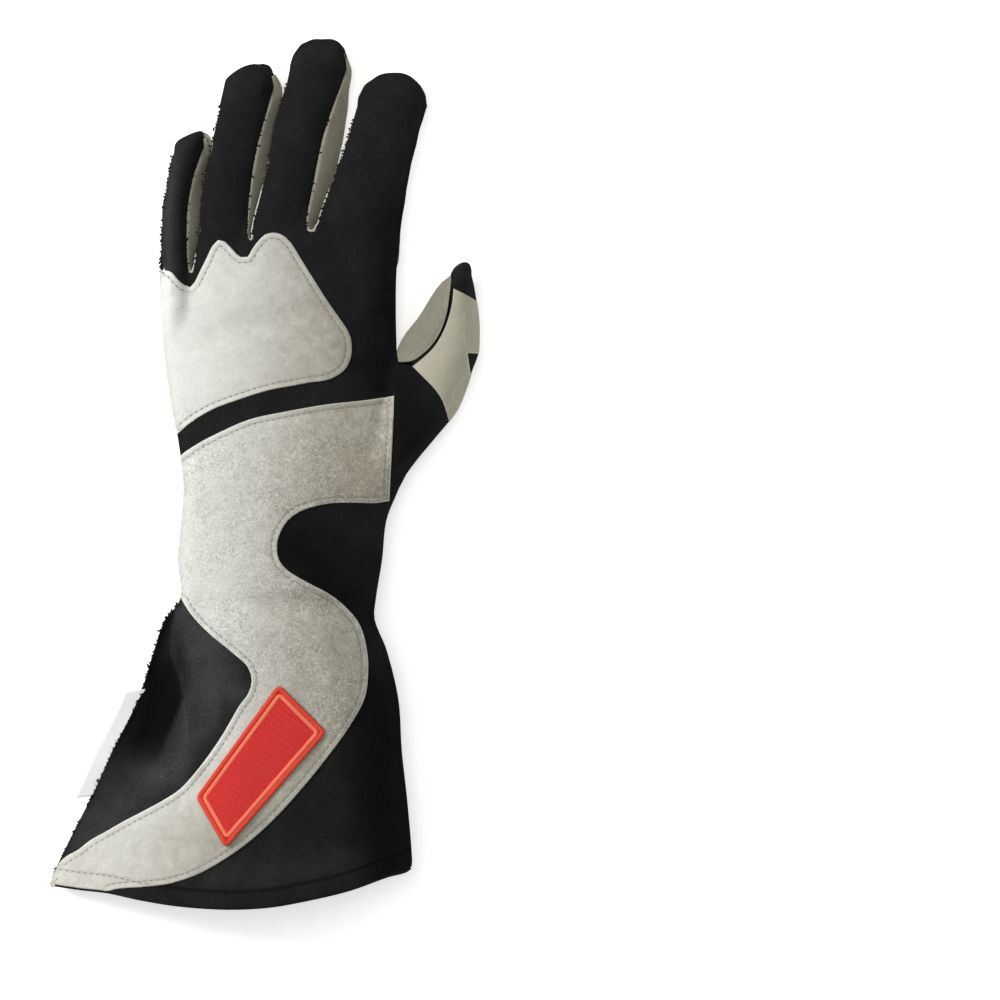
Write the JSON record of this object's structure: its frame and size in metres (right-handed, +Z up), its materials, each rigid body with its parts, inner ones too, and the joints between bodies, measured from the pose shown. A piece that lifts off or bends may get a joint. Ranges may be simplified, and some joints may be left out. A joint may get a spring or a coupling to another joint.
{
  "type": "racing glove",
  "caption": "Left-hand driving glove with a long flared cuff, grey suede palm and patches on black cloth, lying palm down.",
  "frame": {"origin": "on the flat underside of the palm patch, under the middle of the palm", "axes": "+Y from the cuff to the fingertips, +X toward the thumb, +Z up out of the back of the hand"},
  "size_m": [0.1989, 0.3995, 0.0454],
  "materials": {
    "black_cloth": "matt napped flame-resistant cloth",
    "grey_suede": "brushed light grey suede",
    "black_suede": "brushed black suede",
    "badge_thread": "satin-stitched red thread",
    "label_satin": "woven white satin"
  },
  "bodies": {
    "root": {"back_panel": "black_cloth", "palm_panel": "grey_suede", "thumb_front": "grey_suede", "cuff_palm_panel": "black_cloth", "fourchette_little_ring": "grey_suede", "fourchette_ring_middle": "grey_suede", "fourchette_middle_index": "grey_suede", "knuckle_patch": "grey_suede", "wrist_patch": "grey_suede", "thumb_patch": "grey_suede", "palm_patch": "black_suede", "badge": "badge_thread", "side_label": "label_satin"}
  },
  "joints": []
}
